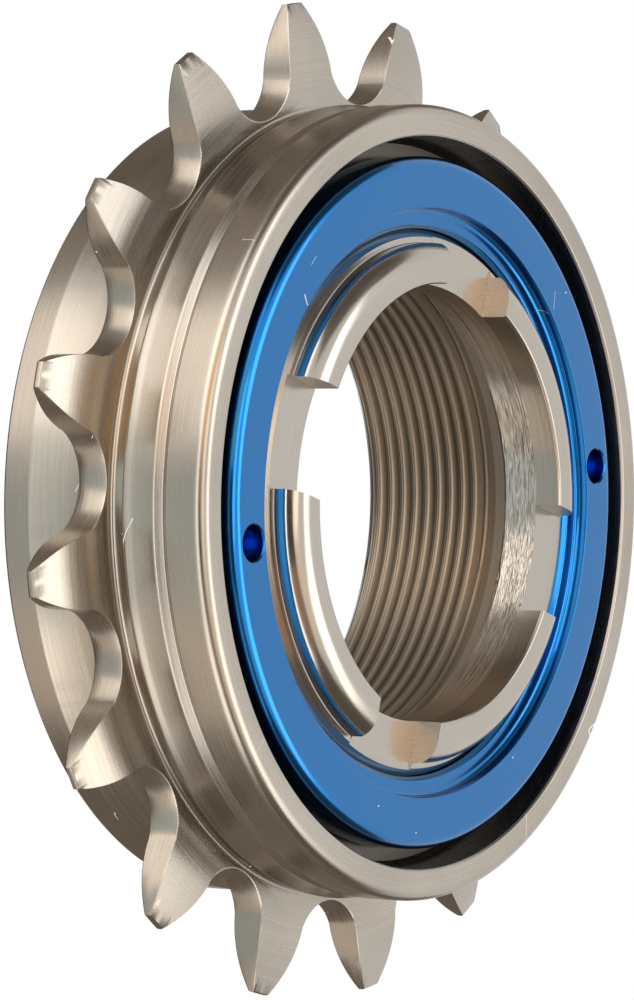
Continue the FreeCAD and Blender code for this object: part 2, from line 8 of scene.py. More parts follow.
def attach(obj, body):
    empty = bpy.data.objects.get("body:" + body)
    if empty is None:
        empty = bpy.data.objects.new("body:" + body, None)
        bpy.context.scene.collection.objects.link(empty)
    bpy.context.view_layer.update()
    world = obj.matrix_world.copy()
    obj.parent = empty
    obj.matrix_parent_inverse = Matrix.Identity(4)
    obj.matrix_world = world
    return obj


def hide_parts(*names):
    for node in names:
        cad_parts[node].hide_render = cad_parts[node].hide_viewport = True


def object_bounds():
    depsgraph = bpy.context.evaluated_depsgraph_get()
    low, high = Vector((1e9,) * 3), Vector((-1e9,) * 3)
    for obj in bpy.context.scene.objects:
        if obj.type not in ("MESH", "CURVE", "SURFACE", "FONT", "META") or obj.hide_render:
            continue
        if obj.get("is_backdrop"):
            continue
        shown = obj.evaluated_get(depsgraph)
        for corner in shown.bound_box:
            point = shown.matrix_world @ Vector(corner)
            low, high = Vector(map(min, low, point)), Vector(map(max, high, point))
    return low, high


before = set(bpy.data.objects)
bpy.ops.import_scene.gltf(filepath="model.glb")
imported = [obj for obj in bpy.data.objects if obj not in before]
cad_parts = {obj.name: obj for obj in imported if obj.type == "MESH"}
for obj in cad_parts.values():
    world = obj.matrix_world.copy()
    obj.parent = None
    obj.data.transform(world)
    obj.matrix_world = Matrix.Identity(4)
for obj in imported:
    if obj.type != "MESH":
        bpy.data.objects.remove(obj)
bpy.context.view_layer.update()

# Studio. The photograph is a cut-out on white, taken through a long lens 57 degrees off
# the axle, with the axle level in the picture. Bright cards and lamps stand round the
# part, brown walls and flags between them; the camera doesn't see them, the metal does.
MM = 0.001
PHOTO_HEIGHT = 1000.0
PHOTO_MIDDLE = (317.0, 500.0)
LIP_MIDDLE = (425.8, 502.7)
LIP_HEIGHT = 16.8 * MM
CAMERA_DISTANCE = 371.1 * MM
FOCAL_PIXELS = 5220.2
OFF_AXLE = math.radians(56.91)
ROLL = -0.0151

lip = Vector((0, 0, LIP_HEIGHT))
outwards = Vector((-math.sin(OFF_AXLE), 0, math.cos(OFF_AXLE)))
level_right = Vector((math.cos(OFF_AXLE), 0, math.sin(OFF_AXLE)))
level_up = Vector((0, 1, 0))
photo_right = level_right * math.cos(ROLL) - level_up * math.sin(ROLL)
photo_up = level_up * math.cos(ROLL) + level_right * math.sin(ROLL)
gaze = (
    -outwards * FOCAL_PIXELS
    - photo_right * (LIP_MIDDLE[0] - PHOTO_MIDDLE[0])
    + photo_up * (LIP_MIDDLE[1] - PHOTO_MIDDLE[1])
).normalized()
camera_right = (photo_right - gaze * photo_right.dot(gaze)).normalized()
camera_up = camera_right.cross(gaze)
turn = Matrix((camera_right, camera_up, -gaze)).transposed()
camera = bpy.data.objects.new("camera", bpy.data.cameras.new("camera"))
camera.data.lens = camera.data.sensor_width * FOCAL_PIXELS / PHOTO_HEIGHT
camera.data.clip_start = 0.01
camera.matrix_world = Matrix.Translation(lip + outwards * CAMERA_DISTANCE) @ turn.to_4x4()
bpy.context.collection.objects.link(camera)
bpy.context.scene.camera = camera
bpy.context.scene.view_settings.view_transform = "Standard"


def linear(hex_colour):
    """The linear red, green, blue and alpha of an sRGB hex value."""
    parts = [int(hex_colour[i : i + 2], 16) / 255 for i in (1, 3, 5)]
    parts = [c / 12.92 if c <= 0.04045 else ((c + 0.055) / 1.055) ** 2.4 for c in parts]
    return (*parts, 1.0)


def add(tree, kind, inputs=(), **settings):
    """Adds a node with its settings; each input is a value or a socket to link."""
    node = tree.nodes.new(kind)
    for name, value in settings.items():
        setattr(node, name, value)
    for key, value in dict(inputs).items():
        if isinstance(value, bpy.types.NodeSocket):
            tree.links.new(value, node.inputs[key])
        else:
            node.inputs[key].default_value = value
    return node


def new_material(name):
    material = bpy.data.materials.new(name)
    material.use_nodes = True
    material.node_tree.nodes.clear()
    return material, material.node_tree


world = bpy.data.worlds.new("studio")
bpy.context.scene.world = world
world.use_nodes = True
tree = world.node_tree
tree.nodes.clear()
path = add(tree, "ShaderNodeLightPath").outputs
seen = path["Is Camera Ray"]
for kind in ("Is Glossy Ray", "Is Transmission Ray"):
    seen = add(tree, "ShaderNodeMath", {0: seen, 1: path[kind]}, operation="MAXIMUM").outputs[0]
power = add(tree, "ShaderNodeMapRange", {"Value": seen, "To Min": 0.6, "To Max": 1.0}).outputs[0]
light = add(tree, "ShaderNodeBackground", {"Color": linear("#FFFFFF"), "Strength": power})
add(tree, "ShaderNodeOutputWorld", {"Surface": light.outputs[0]})

# Each card: azimuth and rise of its middle, width and height, all in degrees as seen
# from the part, then its colour and strength.
CARD_REACH = 600 * MM
CARDS = {
    "left strip": (0, 10, 46, 16, "#FFFFFF", 2.8),
    "upper left strip": (45, 10, 44, 16, "#FFFFFF", 3.0),
    "lower left strip": (-45, 10, 44, 16, "#FFFFFF", 2.4),
    "upper window": (36, -6, 34, 16, "#FFFDF9", 3.0),
    "lower window": (-47, -6, 30, 16, "#FFFAF2", 2.8),
    "side window": (-8, -6, 40, 16, "#E4EAEA", 1.3),
    "upper wall": (36, -30, 34, 32, "#FFF6EC", 1.9),
    "lower wall": (-47, -30, 30, 32, "#FFF0E0", 0.9),
    "side wall": (-8, -30, 40, 32, "#CDD4D2", 1.05),
    "upper near wing": (76, -24, 24, 56, "#A89E93", 1.0),
    "upper far wing": (122, -24, 66, 56, "#85796E", 1.0),
    "lower wing": (-112, -24, 78, 56, "#85796E", 1.0),
    "upper flag": (102, 25, 60, 40, "#6E675F", 1.0),
    "lower flag": (-102, 25, 60, 40, "#6E645A", 1.0),
    "floor": (0, -90, 78, 78, "#4A433C", 1.0),
    "shade above the lens": (-9, 34, 34, 30, "#403A34", 1.0),
    "golden lamp": (31, 34, 34, 24, "#FFC98A", 1.8),
    "golden wall": (-48, 34, 34, 28, "#B8957A", 1.0),
    "overhead lamp": (12, 61, 42, 20, "#FFF2DF", 2.6),
    "lower overhead lamp": (-50, 61, 34, 20, "#FFEAD8", 1.3),
    "upper softbox": (150, 65, 34, 30, "#FFFFFF", 3.2),
    "lower softbox": (-146, 63, 34, 30, "#FFFCF4", 3.2),
}
for name, (azimuth, rise, wide, tall, colour, strength) in CARDS.items():
    azimuth, rise, wide, tall = (math.radians(angle) for angle in (azimuth, rise, wide, tall))
    paint, tree = new_material(name)
    glow = add(tree, "ShaderNodeEmission", {"Color": linear(colour), "Strength": strength})
    add(tree, "ShaderNodeOutputMaterial", {"Surface": glow.outputs[0]})
    half_wide = CARD_REACH * math.tan(wide / 2)
    half_tall = CARD_REACH * math.tan(tall / 2)
    mesh = bpy.data.meshes.new(name)
    mesh.from_pydata(
        [(x * half_wide, y * half_tall, 0) for x, y in ((-1, -1), (1, -1), (1, 1), (-1, 1))],
        [],
        [(0, 1, 2, 3)],
    )
    mesh.materials.append(paint)
    level = Vector((-math.cos(azimuth), math.sin(azimuth), 0))
    toward = level * math.cos(rise) + Vector((0, 0, math.sin(rise)))
    card = bpy.data.objects.new(name, mesh)
    card.location = toward * CARD_REACH
    card.rotation_euler = (math.pi / 2 + rise, 0, math.pi / 2 - azimuth)
    card.visible_camera = False
    bpy.context.collection.objects.link(card)
    card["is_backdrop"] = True

# Sprocket shell. One steel piece: the blank is turned, its sixteen teeth are milled
# through and thinned on both faces, the ratchet is broached inside, and the whole is
# nickel plated. The plate keeps the turning lines and the cutter's streaks.
CHAIN_PITCH = 12.7
TEETH = 16
ROLLER_SEAT = 3.95
TIP_ABOVE_PITCH = 3.25
TIP_LAND = 1.76
FLANK_RADIUS = 12.0
FIRST_TOOTH = math.radians(9.35)
TOOTH_PLANE = 8.6
TOOTH_WIDTH = 2.35
TIP_WIDTH = 0.5
TIP_RELIEF = 5.3
TOOTH_FILLET = 0.35
TOOTH_EDGE = 0.07
DRUM_RADIUS = 28.27
LIP_TOP = 17.5
LIP_ROUND = 0.8
NECK_RADIUS = 27.6
RIDGE_FOOT = 28.02
BORE_RADIUS = 26.0
BEARING_REAR = 7.0
RATCHET_REAR = 2.5
RATCHET_TEETH = 36
RATCHET_TIP = 24.2
RATCHET_ROOT = 25.4
RATCHET_LAND = math.radians(1.2)
RATCHET_PLAY = math.radians(0.35)
PAWL_TURN = math.radians(30)
PAWL_LENGTH = 7.7
PAWL_HEEL = 1.5
PAWL_PIVOT = 21.6
GROOVE_FRONT = 14.5
GROOVE_FLOOR = 13.93
GROOVE_REAR = 13.15
GROOVE_DEPTH = 0.48
RIDGE_DEPTH = 0.12
NECK_FRONT = 5.6
RIM_FRONT = 2.9
RIM_REAR = 0.6
FILLET_ROWS = 5
FACE_ROWS = 12
WELD = 0.0004 * MM
DUST_SPACING = 1.6
LINT_CURL = 4.5
LINT_PATCH = 3.2


def rounded_corners(corners, steps=4):
    """A profile of (radius, height) points; a third number rounds that corner."""
    points = []
    for i, corner in enumerate(corners):
        here = Vector(corner[:2])
        if len(corner) == 2:
            points.append(here)
            continue
        before = Vector(corners[i - 1][:2]) - here
        after = Vector(corners[i + 1][:2]) - here
        start = here + before.normalized() * corner[2]
        end = here + after.normalized() * corner[2]
        for step in range(steps + 1):
            t = step / steps
            points.append(start * (1 - t) ** 2 + here * 2 * t * (1 - t) + end * t**2)
    return points


def arc_points(start, end, radius, side, steps):
    """Points on the arc from start to end, whose centre is left (1) or right (-1)."""
    start, end = Vector(start), Vector(end)
    chord = end - start
    left = Vector((-chord.y, chord.x)).normalized()
    rise = math.sqrt(max(radius**2 - (chord.length / 2) ** 2, 0))
    centre = (start + end) / 2 + left * rise * side
    first = math.atan2(start.y - centre.y, start.x - centre.x)
    sweep = (math.atan2(end.y - centre.y, end.x - centre.x) - first) % (2 * math.pi)
    if side < 0:
        sweep -= 2 * math.pi
    angles = [first + sweep * step / steps for step in range(steps + 1)]
    return [centre + Vector((math.cos(a), math.sin(a))) * radius for a in angles]


def at(angle, radius, height):
    """A point of the part in metres, from an angle, a radius and a height."""
    return Vector((radius * math.cos(angle), radius * math.sin(angle), height)) * MM


def skin(bm, columns, closed=False):
    """Faces between columns of points that all have the same number of rows."""
    grid = [[bm.verts.new(point) for point in column] for column in columns]
    for left, right in zip(grid, grid[1:] + grid[:1] if closed else grid[1:]):
        for row in range(len(left) - 1):
            bm.faces.new((left[row], right[row], right[row + 1], left[row + 1]))
    return grid


def object_from(bm, name):
    mesh = bpy.data.meshes.new(name)
    bm.to_mesh(mesh)
    bm.free()
    piece = bpy.data.objects.new(name, mesh)
    bpy.context.collection.objects.link(piece)
    return piece


ring_tree = bpy.data.node_groups.new("ring of copies", "GeometryNodeTree")
for name, kind in (
    ("Sector", "NodeSocketGeometry"),
    ("Copies", "NodeSocketInt"),
    ("First turn", "NodeSocketFloat"),
    ("Finish", "NodeSocketMaterial"),
):
    ring_tree.interface.new_socket(name=name, in_out="INPUT", socket_type=kind)
ring_tree.interface.new_socket(name="Ring", in_out="OUTPUT", socket_type="NodeSocketGeometry")
given = add(ring_tree, "NodeGroupInput").outputs
places = add(ring_tree, "GeometryNodeMeshLine", {"Count": given["Copies"], "Offset": (0, 0, 0)})
step = add(ring_tree, "ShaderNodeMath", {0: 2 * math.pi, 1: given["Copies"]}, operation="DIVIDE")
index = add(ring_tree, "GeometryNodeInputIndex")
turned_by = add(
    ring_tree,
    "ShaderNodeMath",
    {0: index.outputs[0], 1: step.outputs[0], 2: given["First turn"]},
    operation="MULTIPLY_ADD",
)
rotation = add(ring_tree, "ShaderNodeCombineXYZ", {"Z": turned_by.outputs[0]})
copies = add(
    ring_tree,
    "GeometryNodeInstanceOnPoints",
    {"Points": places.outputs[0], "Instance": given["Sector"], "Rotation": rotation.outputs[0]},
)
real = add(ring_tree, "GeometryNodeRealizeInstances", {0: copies.outputs[0]})
painted = add(
    ring_tree, "GeometryNodeSetMaterial", {"Geometry": real.outputs[0], "Material": given["Finish"]}
)
add(ring_tree, "NodeGroupOutput", {0: painted.outputs[0]})


def ring_of(sector, copies, first_turn, finish):
    """Repeats a sector round the axle and returns the ring as a plain mesh."""
    modifier = sector.modifiers.new("ring", "NODES")
    modifier.node_group = ring_tree
    values = {"Copies": copies, "First turn": first_turn, "Finish": finish}
    for item in ring_tree.interface.items_tree:
        if item.in_out == "INPUT" and item.name in values:
            modifier[item.identifier] = values[item.name]
    shown = sector.evaluated_get(bpy.context.evaluated_depsgraph_get())
    mesh = bpy.data.meshes.new_from_object(shown)
    bpy.data.objects.remove(sector)
    return mesh


def finish_piece(bm, name, body, material, replaced, crease=38):
    """Closes a mesh, shades it smooth up to its edges and puts it on its body."""
    bmesh.ops.remove_doubles(bm, verts=bm.verts, dist=WELD)
    bmesh.ops.recalc_face_normals(bm, faces=bm.faces)
    for face in bm.faces:
        face.smooth = True
    for edge in bm.edges:
        edge.smooth = edge.calc_face_angle(0) < math.radians(crease)
    piece = object_from(bm, name)
    piece.data.materials.clear()
    piece.data.materials.append(material)
    normals = piece.modifiers.new("flat faces stay flat", "WEIGHTED_NORMAL")
    normals.keep_sharp = True
    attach(piece, body)
    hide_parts(replaced)
    return piece


def between(tree, value, low, high):
    """1 where a value in metres lies between two sizes in millimetres, else 0."""
    above = add(tree, "ShaderNodeMath", {0: value, 1: low * MM}, operation="GREATER_THAN").outputs[0]
    below = add(tree, "ShaderNodeMath", {0: value, 1: high * MM}, operation="LESS_THAN").outputs[0]
    return add(tree, "ShaderNodeMath", {0: above, 1: below}, operation="MULTIPLY").outputs[0]


def off_axle(tree, coords):
    """Radius, height and outward direction of the shaded point."""
    across = add(
        tree, "ShaderNodeVectorMath", {0: coords, 1: (1, 1, 0)}, operation="MULTIPLY"
    ).outputs[0]
    radius = add(tree, "ShaderNodeVectorMath", {0: across}, operation="LENGTH").outputs["Value"]
    toward = add(tree, "ShaderNodeVectorMath", {0: across}, operation="NORMALIZE").outputs[0]
    height = add(tree, "ShaderNodeSeparateXYZ", {0: coords}).outputs["Z"]
    return radius, height, toward


def lathe_lines(tree, coords, spacing):
    """A fine line pattern that runs round the axle, spaced in millimetres."""
    radius, height, toward = off_axle(tree, coords)
    along = add(
        tree, "ShaderNodeVectorMath", {0: toward, 1: (2.3, 3.1, 0)}, operation="DOT_PRODUCT"
    ).outputs["Value"]
    count = 1 / (spacing * MM)
    rings = add(tree, "ShaderNodeMath", {0: radius, 1: count}, operation="MULTIPLY").outputs[0]
    layers = add(tree, "ShaderNodeMath", {0: height, 1: count}, operation="MULTIPLY").outputs[0]
    place = add(tree, "ShaderNodeCombineXYZ", {0: rings, 1: layers, 2: along}).outputs[0]
    return add(
        tree, "ShaderNodeTexNoise", {"Vector": place, "Scale": 1.0, "Detail": 3.0, "Roughness": 0.6}
    ).outputs[0]


def dust(tree, coords):
    """1 on sparse specks of dust and on a few short hairs of lint."""
    cells = add(tree, "ShaderNodeTexVoronoi", {"Vector": coords, "Scale": 1 / DUST_SPACING / MM})
    near = add(tree, "ShaderNodeMath", {0: cells.outputs["Distance"], 1: 0.05}, operation="LESS_THAN")
    pick = add(tree, "ShaderNodeSeparateColor", {0: cells.outputs["Color"]}).outputs[0]
    few = add(tree, "ShaderNodeMath", {0: pick, 1: 0.88}, operation="GREATER_THAN").outputs[0]
    specks = add(tree, "ShaderNodeMath", {0: near.outputs[0], 1: few}, operation="MULTIPLY").outputs[0]
    curls, where = (
        add(tree, "ShaderNodeTexNoise", {"Vector": coords, "Scale": 1 / size / MM, "Detail": 0.0}).outputs[0]
        for size in (LINT_CURL, LINT_PATCH)
    )
    hair = add(tree, "ShaderNodeMath", {0: curls, 1: 0.5, 2: 0.0025}, operation="COMPARE").outputs[0]
    short = add(tree, "ShaderNodeMath", {0: where, 1: 0.77}, operation="GREATER_THAN").outputs[0]
    lint = add(tree, "ShaderNodeMath", {0: hair, 1: short}, operation="MULTIPLY").outputs[0]
    return add(tree, "ShaderNodeMath", {0: specks, 1: lint}, operation="MAXIMUM").outputs[0]


def finish_dusty(tree, coords, metal):
    """Gives a material its metal with the light dust that lies on it."""
    fluff = add(tree, "ShaderNodeBsdfDiffuse", {"Color": linear("#F2EEE6")})
    dusty = add(
        tree, "ShaderNodeMixShader", {0: dust(tree, coords), 1: metal.outputs[0], 2: fluff.outputs[0]}
    )
    add(tree, "ShaderNodeOutputMaterial", {"Surface": dusty.outputs[0]})


# Satin nickel plate over turned steel: a warm grey metal. Round the axle it shows
# fine turning lines, across the milled tooth walls the cutter's streaks.
satin_nickel, tree = new_material("satin nickel plate on turned steel")
coords = add(tree, "ShaderNodeTexCoord").outputs["Object"]
turning = lathe_lines(tree, coords, 0.11)
milled = add(tree, "ShaderNodeAttribute", attribute_name="milled").outputs["Fac"]
streak_place = add(
    tree,
    "ShaderNodeVectorMath",
    {0: coords, 1: (1 / 2.5 / MM, 1 / 2.5 / MM, 1 / 0.1 / MM)},
    operation="MULTIPLY",
).outputs[0]
streaks = add(
    tree, "ShaderNodeTexNoise", {"Vector": streak_place, "Scale": 1.0, "Detail": 2.0}
).outputs[0]
marks = add(
    tree, "ShaderNodeMix", {"Factor": milled, 2: turning, 3: streaks}, data_type="FLOAT"
).outputs[0]
grain = add(
    tree, "ShaderNodeTexNoise", {"Vector": coords, "Scale": 1 / 0.12 / MM, "Detail": 2.0}
).outputs[0]
clouds = add(
    tree, "ShaderNodeTexNoise", {"Vector": coords, "Scale": 1 / 14 / MM, "Detail": 2.0}
).outputs[0]
tint = add(tree, "ShaderNodeValToRGB", {"Fac": clouds})
tint.color_ramp.elements[0].position = 0.35
tint.color_ramp.elements[0].color = linear("#A39B91")
tint.color_ramp.elements[1].position = 0.65
tint.color_ramp.elements[1].color = linear("#B0A89D")
rough = add(
    tree,
    "ShaderNodeMapRange",
    {"Value": marks, "From Min": 0.3, "From Max": 0.7, "To Min": 0.22, "To Max": 0.34},
).outputs[0]
line_bump = add(
    tree, "ShaderNodeBump", {"Height": marks, "Strength": 0.5, "Distance": 0.006 * MM}
).outputs[0]
grain_bump = add(
    tree,
    "ShaderNodeBump",
    {"Height": grain, "Strength": 0.35, "Distance": 0.004 * MM, "Normal": line_bump},
).outputs[0]
metal = add(
    tree,
    "ShaderNodeBsdfPrincipled",
    {"Base Color": tint.outputs[0], "Metallic": 1.0, "Roughness": rough, "Normal": grain_bump},
)
finish_dusty(tree, coords, metal)

pitch_radius = CHAIN_PITCH / 2 / math.sin(math.pi / TEETH)
tip_radius = pitch_radius + TIP_ABOVE_PITCH
mouth_angle = math.pi / TEETH - math.asin(TIP_LAND / 2 / tip_radius)
mouth = Vector((tip_radius * math.cos(mouth_angle), tip_radius * math.sin(mouth_angle)))
to_mouth = mouth - Vector((pitch_radius, 0))
seat_angle = math.atan2(to_mouth.y, to_mouth.x) + math.acos(ROLLER_SEAT / to_mouth.length)
seat_end = Vector((math.cos(seat_angle), math.sin(seat_angle))) * ROLLER_SEAT
seat_end += Vector((pitch_radius, 0))
tip_drop = (TOOTH_WIDTH - TIP_WIDTH) / 2
relief_radius = (TIP_RELIEF**2 + tip_drop**2) / (2 * tip_drop)


def relief(radius):
    """How far a tooth's face has dropped at a radius."""
    inwards = max(radius - (tip_radius - TIP_RELIEF), 0)
    return relief_radius - math.sqrt(relief_radius**2 - inwards**2)


def front_face(radius):
    """Height of the front of the tooth ring, with the fillet at its foot."""
    plate = TOOTH_PLANE + TOOTH_WIDTH / 2
    short = max(RIDGE_FOOT + TOOTH_FILLET - radius, 0)
    fillet = TOOTH_FILLET - math.sqrt(max(TOOTH_FILLET**2 - short**2, 0))
    return plate + fillet - relief(radius)


def rear_face(radius):
    """Height of the rear of the tooth ring."""
    plate = TOOTH_PLANE - TOOTH_WIDTH / 2
    short = max(NECK_RADIUS + TOOTH_FILLET - radius, 0)
    fillet = TOOTH_FILLET - math.sqrt(max(TOOTH_FILLET**2 - short**2, 0))
    return plate - fillet + relief(radius)


half_gap = arc_points((pitch_radius - ROLLER_SEAT, 0), seat_end, ROLLER_SEAT, -1, 11)
half_gap += arc_points(seat_end, mouth, FLANK_RADIUS, 1, 9)[1:]
outline = [(math.atan2(p.y, p.x), p.length) for p in half_gap]
outline += [
    (math.pi / TEETH * share + mouth_angle * (1 - share), tip_radius) for share in (0.1, 0.5, 1)
]
outline += [(2 * math.pi / TEETH - angle, radius) for angle, radius in outline[-2::-1]]

front_rows = rounded_corners(
    [
        (BORE_RADIUS, BEARING_REAR),
        (BORE_RADIUS, LIP_TOP - 3),
        (BORE_RADIUS, LIP_TOP - 0.15, 0.05),
        (BORE_RADIUS + 0.15, LIP_TOP, 0.05),
        (DRUM_RADIUS - LIP_ROUND - 0.1, LIP_TOP),
    ]
)
front_rows += arc_points(
    (DRUM_RADIUS - LIP_ROUND, LIP_TOP), (DRUM_RADIUS, LIP_TOP - LIP_ROUND), LIP_ROUND, -1, 8
)
front_rows += [Vector((DRUM_RADIUS, LIP_TOP - 1)), Vector((DRUM_RADIUS, GROOVE_FRONT + 0.1))]
front_rows += rounded_corners(
    [
        (DRUM_RADIUS, GROOVE_FRONT),
        (DRUM_RADIUS, GROOVE_FRONT - 0.1, 0.07),
        (DRUM_RADIUS - GROOVE_DEPTH, GROOVE_FLOOR, 0.1),
        (DRUM_RADIUS - RIDGE_DEPTH + 0.01, GROOVE_REAR + 0.18, 0.1),
        (DRUM_RADIUS - RIDGE_DEPTH + 0.005, GROOVE_REAR),
    ]
)
for share in (step / 8 for step in range(7)):
    flare = DRUM_RADIUS - RIDGE_DEPTH + 0.25 * share**2
    front_rows.append(Vector((flare, GROOVE_REAR - 0.1 - 2.15 * share)))
front_rows += rounded_corners(
    [
        (DRUM_RADIUS + 0.11, 11.15),
        (DRUM_RADIUS + 0.13, 10.9, 0.18),
        (RIDGE_FOOT, 10.775, 0.1),
        (RIDGE_FOOT, front_face(RIDGE_FOOT)),
    ]
)
rear_rows = rounded_corners(
    [
        (NECK_RADIUS, rear_face(NECK_RADIUS)),
        (NECK_RADIUS, NECK_FRONT),
        (DRUM_RADIUS, RIM_FRONT, 0.08),
        (DRUM_RADIUS, RIM_REAR + 0.4),
        (DRUM_RADIUS, RIM_REAR + 0.3, 0.05),
        (DRUM_RADIUS - 0.3, RIM_REAR, 0.05),
        (DRUM_RADIUS - 0.5, RIM_REAR),
        (BORE_RADIUS + 0.1, RIM_REAR),
        (BORE_RADIUS, RIM_REAR, 0.05),
        (BORE_RADIUS, RATCHET_REAR),
    ]
)


def across_face(foot, inner):
    """Radii from a fillet's foot to the rim, close together in the fillet."""
    reach = min(TOOTH_FILLET, 0.8 * (inner - foot))
    radii = [foot + reach * (step / FILLET_ROWS) ** 2 for step in range(1, FILLET_ROWS + 1)]
    start, rest = foot + reach, FACE_ROWS - FILLET_ROWS
    return radii + [start + (inner - foot - reach) * step / rest for step in range(1, rest + 1)]


columns = []
for angle, radius in outline:
    inner = radius - TOOTH_EDGE
    profile = front_rows + [Vector((r, front_face(r))) for r in across_face(RIDGE_FOOT, inner)]
    near_edge = radius - TOOTH_EDGE * 0.3
    wall_rows = [
        Vector((near_edge, front_face(radius) - TOOTH_EDGE * 0.3)),
        Vector((radius, front_face(radius) - TOOTH_EDGE)),
        Vector((radius, TOOTH_PLANE)),
        Vector((radius, rear_face(radius) + TOOTH_EDGE)),
        Vector((near_edge, rear_face(radius) + TOOTH_EDGE * 0.3)),
    ]
    profile += wall_rows
    profile += [Vector((r, rear_face(r))) for r in across_face(NECK_RADIUS, inner)[::-1]] + rear_rows
    columns.append([at(angle, *p) for p in profile])
bm = bmesh.new()
skin(bm, columns)
milled_layer = bm.verts.layers.float.new("milled")
first_wall = len(front_rows) + FACE_ROWS
bm.verts.ensure_lookup_table()
for column in range(len(columns)):
    for row in range(first_wall, first_wall + len(wall_rows)):
        bm.verts[column * len(columns[0]) + row][milled_layer] = 1.0
teeth = ring_of(object_from(bm, "tooth sector"), TEETH, FIRST_TOOTH + math.pi / TEETH, satin_nickel)


def pawl_bend(nose_radius):
    """Angle at the pivot, off the radius, of a pawl whose nose is at a radius."""
    squares = nose_radius**2 - PAWL_PIVOT**2 - PAWL_LENGTH**2
    return math.acos(squares / (2 * PAWL_PIVOT * PAWL_LENGTH))


driving = pawl_bend(RATCHET_TIP)
face_turn = PAWL_TURN + math.asin(PAWL_LENGTH * math.sin(driving) / RATCHET_TIP) + RATCHET_PLAY
tooth_turn = 2 * math.pi / RATCHET_TEETH
land_end = Vector((math.cos(RATCHET_LAND), math.sin(RATCHET_LAND))) * RATCHET_TIP
root = Vector((math.cos(tooth_turn), math.sin(tooth_turn))) * RATCHET_ROOT
ratchet_outline = [Vector((RATCHET_TIP, 0))] + [land_end.lerp(root, step / 5) for step in range(6)]
ratchet_outline.append(root * (RATCHET_TIP / RATCHET_ROOT))
bm = bmesh.new()
skin(bm, [[Vector((*p, z)) * MM for z in (RATCHET_REAR, BEARING_REAR)] for p in ratchet_outline])
ratchet = ring_of(object_from(bm, "ratchet sector"), RATCHET_TEETH, face_turn, satin_nickel)

bm = bmesh.new()
bm.from_mesh(teeth)
bm.from_mesh(ratchet)
bmesh.ops.remove_doubles(bm, verts=bm.verts, dist=WELD)
for height in (RATCHET_REAR, BEARING_REAR):
    rim = [e for e in bm.edges if e.is_boundary and abs(e.verts[0].co.z - height * MM) < 0.01 * MM]
    bmesh.ops.triangle_fill(bm, edges=rim, use_beauty=True, normal=(0, 0, 1))
finish_piece(bm, "nickel_sprocket_shell", "shell", satin_nickel, "sprocket_shell")

# Inner body. Turned and threaded steel, nickel plated: it screws on the hub, carries
# the pawls and the bearing, and its front lugs stand between four milled notches
# for the remover. Inside, the hub thread runs up to a smooth taper.
THREAD_RADIUS = 17.4625
THREAD_PITCH = 25.4 / 24
THREAD_DEPTH = 0.56
THREAD_TOP = 11.1
THREAD_LEAD = 0.6
CONE_TOP = 13.7
FRONT_BORE = 15.5525
LUG_RADIUS = 18.4525
LUG_TOP = 18.4
LUG_FLAT = 16.75
LUG_SHOULDER = 17.3
LEDGE = 16.45
NOTCHES = 4
NOTCH_HALF = 4.0
NOTCH_FLOOR = 16.35
NOTCH_TURN = math.radians(75)
FLOOR_END = 18.985
RING_THREAD = 19.45
RING_THREAD_TOP = 15.85
SEAT_RADIUS = 20.0
SEAT_TOP = 13.7
STOP_RADIUS = 21.7
CARRIER_RADIUS = 23.75
CARRIER_TOP = 6.7
FLANGE_RADIUS = 25.5
FLANGE_TOP = 2.2
SEAL_GROOVE_RADIUS = 24.6
SEAL_GROOVE_TOP = 1.8
SEAL_GROOVE_REAR = 0.8
PAWLS = 3
PAWL_CLEAR = 0.35
SOCKET_RADIUS = 1.55
POCKET_LENGTH = 8.05
POCKET_RISE = 3.15
POCKET_FLOOR = 1.9
SOCKET_SIDES = 48
NOTCH_COLUMNS = 6
LUG_COLUMNS = 30
PITCH_ROWS = 12

# Bright nickel plate. In the front bore the tool left coarse turning marks, on the
# notch walls the cutter's chatter; the cone under the bore is matt, and the thread
# is dull and browner. The parts are told apart by radius, height and facing.
bright_nickel, tree = new_material("bright nickel plate on turned steel")
coords = add(tree, "ShaderNodeTexCoord").outputs["Object"]
radius, height, toward = off_axle(tree, coords)
in_front_bore = between(tree, radius, 0, FRONT_BORE + 1.2)
in_hub_bore = between(tree, radius, 0, THREAD_RADIUS + 0.1)
marked, in_thread, in_cone = (
    add(tree, "ShaderNodeMath", {0: bore, 1: between(tree, height, *span)}, operation="MULTIPLY").outputs[0]
    for bore, span in (
        (in_front_bore, (12, NOTCH_FLOOR)),
        (in_hub_bore, (0, THREAD_TOP)),
        (in_hub_bore, (THREAD_TOP, CONE_TOP - 0.2)),
    )
)
normal = add(tree, "ShaderNodeTexCoord").outputs["Normal"]
round_way = add(
    tree, "ShaderNodeVectorMath", {0: toward, 1: (0, 0, 1)}, operation="CROSS_PRODUCT"
).outputs[0]
facing = add(
    tree, "ShaderNodeVectorMath", {0: normal, 1: round_way}, operation="DOT_PRODUCT"
).outputs["Value"]
sideways = add(tree, "ShaderNodeMath", {0: facing}, operation="ABSOLUTE").outputs[0]
wall = add(tree, "ShaderNodeMath", {0: sideways, 1: 0.75}, operation="GREATER_THAN").outputs[0]
turning = lathe_lines(tree, coords, 0.16)
coarse = lathe_lines(tree, coords, 0.34)
cutter_way = add(
    tree,
    "ShaderNodeVectorMath",
    {0: coords, 1: (1 / 0.13 / MM, 1 / 0.13 / MM, 1 / 0.2 / MM)},
    operation="MULTIPLY",
).outputs[0]
chatter = add(tree, "ShaderNodeTexNoise", {"Vector": cutter_way, "Scale": 1.0, "Detail": 3.0}).outputs[0]
grain = add(
    tree, "ShaderNodeTexNoise", {"Vector": coords, "Scale": 1 / 0.3 / MM, "Detail": 2.0}
).outputs[0]
